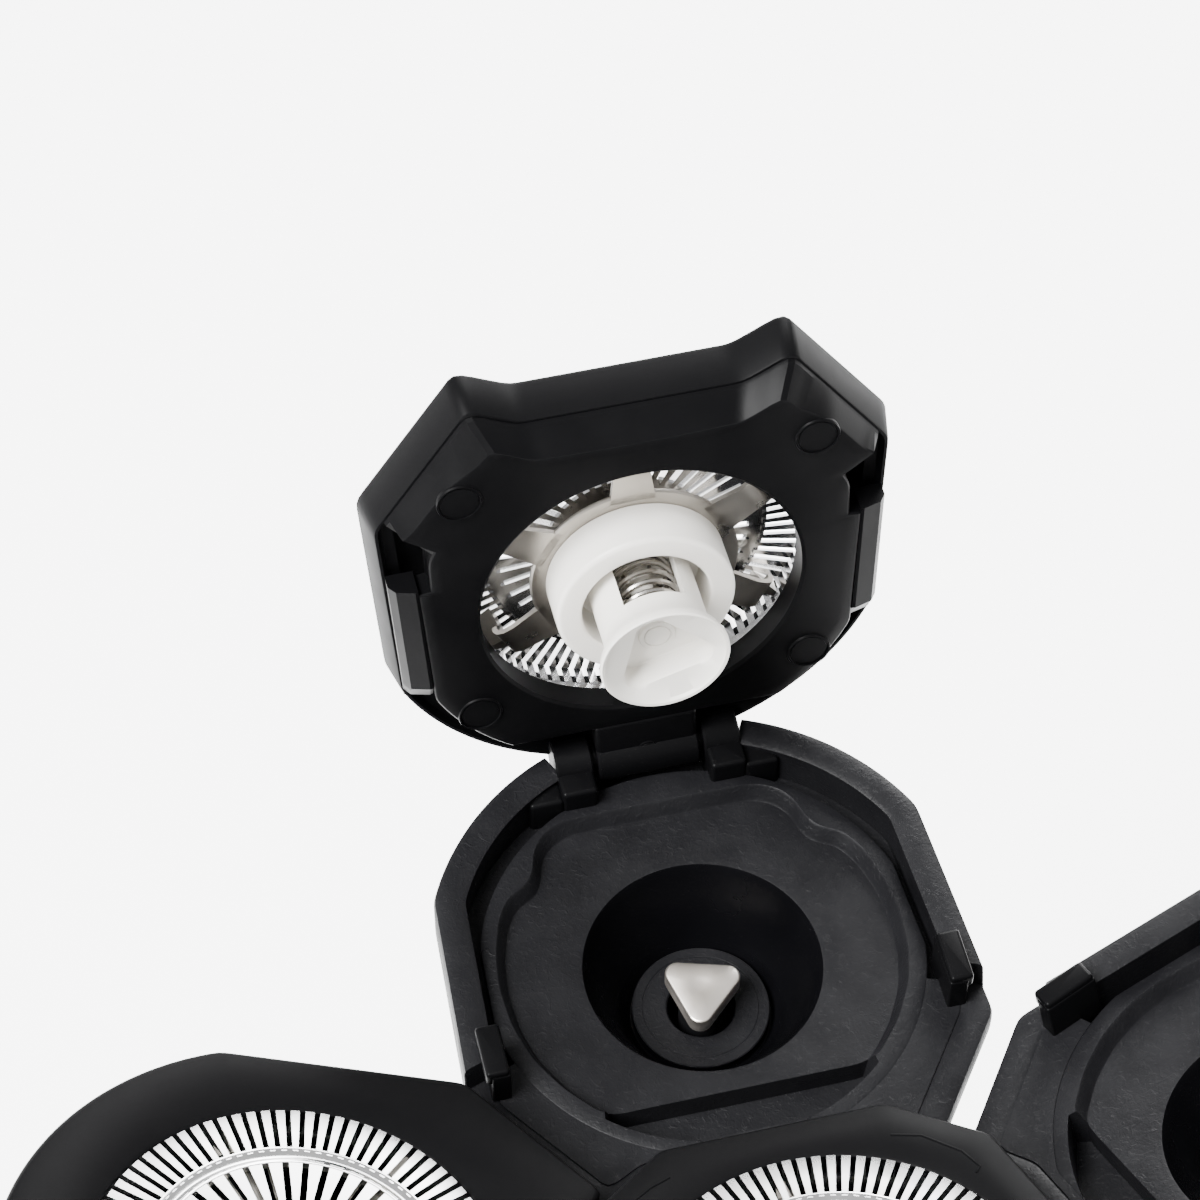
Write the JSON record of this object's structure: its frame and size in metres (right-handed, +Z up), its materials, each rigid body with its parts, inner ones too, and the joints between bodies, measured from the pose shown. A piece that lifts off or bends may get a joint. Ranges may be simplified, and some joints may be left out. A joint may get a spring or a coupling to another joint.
{
  "type": "electric shaver",
  "caption": "Cordless rotary head shaver with floating flip-open pods around a centre head, spring-loaded cutters and a palm handle.",
  "frame": {"origin": "centre of the flat foot of the handle", "axes": "+Z up through the handle to the centre shaving head, +Y towards the top pod, display on the -Y side"},
  "size_m": [0.0875, 0.0821, 0.145],
  "materials": {
    "lid_plastic": "soft matte black",
    "base_plastic": "fine grained charcoal",
    "retainer_plastic": "matte black",
    "foil_steel": "polished slotted steel",
    "cutter_steel": "satin steel",
    "white_plastic": "white moulded",
    "spring_steel": "spring wire",
    "spindle_steel": "satin nickel",
    "chassis_plastic": "black",
    "tray_plastic": "black",
    "ring_metal": "satin gunmetal",
    "handle_front_plastic": "soft matte black",
    "handle_rear_plastic": "soft matte black",
    "motor_can": "zinc can",
    "shaft_steel": "ground steel",
    "battery_wrap": "shrink wrap",
    "board": "solder mask",
    "button_plastic": "satin",
    "window_plastic": "gloss black",
    "socket_rubber": "matt rubber",
    "screw_steel": "black zinc"
  },
  "bodies": {
    "handle": {"handle_front": "handle_front_plastic", "handle_rear": "handle_rear_plastic", "handle_screws": "screw_steel", "neck_ring": "ring_metal", "motor": "motor_can", "battery": "battery_wrap", "circuit_board": "board", "display_window": "window_plastic", "charge_socket": "socket_rubber"},
    "button": {"power_button": "button_plastic"},
    "head": {"head_deck": "chassis_plastic", "gear_tray": "tray_plastic"},
    "center_drive": {"spindle_center": "spindle_steel", "drive_shaft": "shaft_steel"},
    "center_float": {"cap_center": "lid_plastic", "retainer_center": "retainer_plastic", "foil_center": "foil_steel"},
    "center_cutter": {"cutter_center": "cutter_steel", "coupling_center": "white_plastic", "spring_center": "spring_steel"},
    "pod_top": {"base_top": "base_plastic"},
    "lid_top": {"lid_top": "lid_plastic", "retainer_top": "retainer_plastic", "foil_top": "foil_steel"},
    "cutter_top": {"cutter_top": "cutter_steel", "coupling_top": "white_plastic", "spring_top": "spring_steel"},
    "drive_top": {"spindle_top": "spindle_steel"},
    "pod_left": {"base_left": "base_plastic"},
    "lid_left": {"lid_left": "lid_plastic", "retainer_left": "retainer_plastic", "foil_left": "foil_steel"},
    "cutter_left": {"cutter_left": "cutter_steel", "coupling_left": "white_plastic", "spring_left": "spring_steel"},
    "drive_left": {"spindle_left": "spindle_steel"},
    "pod_lower_left": {"base_lower_left": "base_plastic"},
    "lid_lower_left": {"lid_lower_left": "lid_plastic", "retainer_lower_left": "retainer_plastic", "foil_lower_left": "foil_steel"},
    "cutter_lower_left": {"cutter_lower_left": "cutter_steel", "coupling_lower_left": "white_plastic", "spring_lower_left": "spring_steel"},
    "drive_lower_left": {"spindle_lower_left": "spindle_steel"},
    "pod_lower_right": {"base_lower_right": "base_plastic"},
    "lid_lower_right": {"lid_lower_right": "lid_plastic", "retainer_lower_right": "retainer_plastic", "foil_lower_right": "foil_steel"},
    "cutter_lower_right": {"cutter_lower_right": "cutter_steel", "coupling_lower_right": "white_plastic", "spring_lower_right": "spring_steel"},
    "drive_lower_right": {"spindle_lower_right": "spindle_steel"},
    "pod_right": {"base_right": "base_plastic"},
    "lid_right": {"lid_right": "lid_plastic", "retainer_right": "retainer_plastic", "foil_right": "foil_steel"},
    "cutter_right": {"cutter_right": "cutter_steel", "coupling_right": "white_plastic", "spring_right": "spring_steel"},
    "drive_right": {"spindle_right": "spindle_steel"}
  },
  "joints": [
    {"name": "head_release", "type": "slide", "parent": "handle", "child": "head", "axis": [0, 0, 1], "range_m": [0, 0.012]},
    {"name": "power_button_press", "type": "slide", "parent": "handle", "child": "button", "axis": [0, 1, 0], "range_m": [0, 0.0008], "stiffness_N_per_m": 900, "springref_m": -0.0005},
    {"name": "motor_spin", "type": "hinge", "parent": "head", "child": "center_drive", "pos_m": [0, 0, 0.10169], "axis": [0, 0, 1], "continuous": true},
    {"name": "center_float", "type": "slide", "parent": "head", "child": "center_float", "axis": [0, 0, -1], "range_m": [0, 0.0005], "stiffness_N_per_m": 300, "springref_m": -0.001},
    {"name": "cutter_spin_center", "type": "hinge", "parent": "center_float", "child": "center_cutter", "pos_m": [0, 0, 0.112], "axis": [0, 0, 1], "continuous": true},
    {"name": "drive_spin_top", "type": "hinge", "parent": "head", "child": "drive_top", "pos_m": [0, 0.02978, 0.10377], "axis": [0, -0.2079, 0.9781], "continuous": true},
    {"name": "pod_tilt_top", "type": "hinge", "parent": "head", "child": "pod_top", "pos_m": [0, 0.02925, 0.10626], "axis": [1, 0, 0], "range_deg": [-2, 2], "stiffness_Nm_per_rad": 0.4},
    {"name": "lid_hinge_top", "type": "hinge", "parent": "pod_top", "child": "lid_top", "pos_m": [0, 0.04081, 0.11684], "axis": [-1, 0, 0], "range_deg": [-97, 8]},
    {"name": "cutter_spin_top", "type": "hinge", "parent": "lid_top", "child": "cutter_top", "pos_m": [0, 0.03948, 0.13028], "axis": [0, 0.9962, 0.0872], "continuous": true},
    {"name": "drive_spin_left", "type": "hinge", "parent": "head", "child": "drive_left", "pos_m": [-0.02832, 0.0092, 0.10377], "axis": [0.1977, -0.0642, 0.9781], "continuous": true},
    {"name": "pod_tilt_left", "type": "hinge", "parent": "head", "child": "pod_left", "pos_m": [-0.02782, 0.00904, 0.10626], "axis": [0.309, 0.9511, 0], "range_deg": [-2, 2], "stiffness_Nm_per_rad": 0.4},
    {"name": "lid_hinge_left", "type": "hinge", "parent": "pod_left", "child": "lid_left", "pos_m": [-0.03881, 0.01261, 0.11684], "axis": [-0.309, -0.9511, 0], "range_deg": [0, 105]},
    {"name": "cutter_spin_left", "type": "hinge", "parent": "lid_left", "child": "cutter_left", "pos_m": [-0.02628, 0.00854, 0.11389], "axis": [0.1977, -0.0642, 0.9781], "continuous": true},
    {"name": "drive_spin_lower_left", "type": "hinge", "parent": "head", "child": "drive_lower_left", "pos_m": [-0.0175, -0.02409, 0.10377], "axis": [0.1222, 0.1682, 0.9781], "continuous": true},
    {"name": "pod_tilt_lower_left", "type": "hinge", "parent": "head", "child": "pod_lower_left", "pos_m": [-0.01719, -0.02367, 0.10626], "axis": [-0.809, 0.5878, 0], "range_deg": [-2, 2], "stiffness_Nm_per_rad": 0.4},
    {"name": "lid_hinge_lower_left", "type": "hinge", "parent": "pod_lower_left", "child": "lid_lower_left", "pos_m": [-0.02398, -0.03301, 0.11684], "axis": [0.809, -0.5878, 0], "range_deg": [0, 105]},
    {"name": "cutter_spin_lower_left", "type": "hinge", "parent": "lid_lower_left", "child": "cutter_lower_left", "pos_m": [-0.01624, -0.02235, 0.11389], "axis": [0.1222, 0.1682, 0.9781], "continuous": true},
    {"name": "drive_spin_lower_right", "type": "hinge", "parent": "head", "child": "drive_lower_right", "pos_m": [0.0175, -0.02409, 0.10377], "axis": [-0.1222, 0.1682, 0.9781], "continuous": true},
    {"name": "pod_tilt_lower_right", "type": "hinge", "parent": "head", "child": "pod_lower_right", "pos_m": [0.01719, -0.02367, 0.10626], "axis": [-0.809, -0.5878, 0], "range_deg": [-2, 2], "stiffness_Nm_per_rad": 0.4},
    {"name": "lid_hinge_lower_right", "type": "hinge", "parent": "pod_lower_right", "child": "lid_lower_right", "pos_m": [0.02398, -0.03301, 0.11684], "axis": [0.809, 0.5878, 0], "range_deg": [0, 105]},
    {"name": "cutter_spin_lower_right", "type": "hinge", "parent": "lid_lower_right", "child": "cutter_lower_right", "pos_m": [0.01624, -0.02235, 0.11389], "axis": [-0.1222, 0.1682, 0.9781], "continuous": true},
    {"name": "drive_spin_right", "type": "hinge", "parent": "head", "child": "drive_right", "pos_m": [0.02832, 0.0092, 0.10377], "axis": [-0.1977, -0.0642, 0.9781], "continuous": true},
    {"name": "pod_tilt_right", "type": "hinge", "parent": "head", "child": "pod_right", "pos_m": [0.02782, 0.00904, 0.10626], "axis": [0.309, -0.9511, 0], "range_deg": [-2, 2], "stiffness_Nm_per_rad": 0.4},
    {"name": "lid_hinge_right", "type": "hinge", "parent": "pod_right", "child": "lid_right", "pos_m": [0.03881, 0.01261, 0.11684], "axis": [-0.309, 0.9511, 0], "range_deg": [-97, 8]},
    {"name": "cutter_spin_right", "type": "hinge", "parent": "lid_right", "child": "cutter_right", "pos_m": [0.03755, 0.0122, 0.13028], "axis": [0.9474, 0.3078, 0.0872], "continuous": true}
  ],
  "couplings": [
    {"joint": "cutter_spin_center", "follows": "motor_spin", "ratio": 1},
    {"joint": "drive_spin_top", "follows": "motor_spin", "ratio": -2},
    {"joint": "drive_spin_left", "follows": "motor_spin", "ratio": -2},
    {"joint": "cutter_spin_left", "follows": "motor_spin", "ratio": -2},
    {"joint": "drive_spin_lower_left", "follows": "motor_spin", "ratio": -2},
    {"joint": "cutter_spin_lower_left", "follows": "motor_spin", "ratio": -2},
    {"joint": "drive_spin_lower_right", "follows": "motor_spin", "ratio": -2},
    {"joint": "cutter_spin_lower_right", "follows": "motor_spin", "ratio": -2},
    {"joint": "drive_spin_right", "follows": "motor_spin", "ratio": -2}
  ]
}
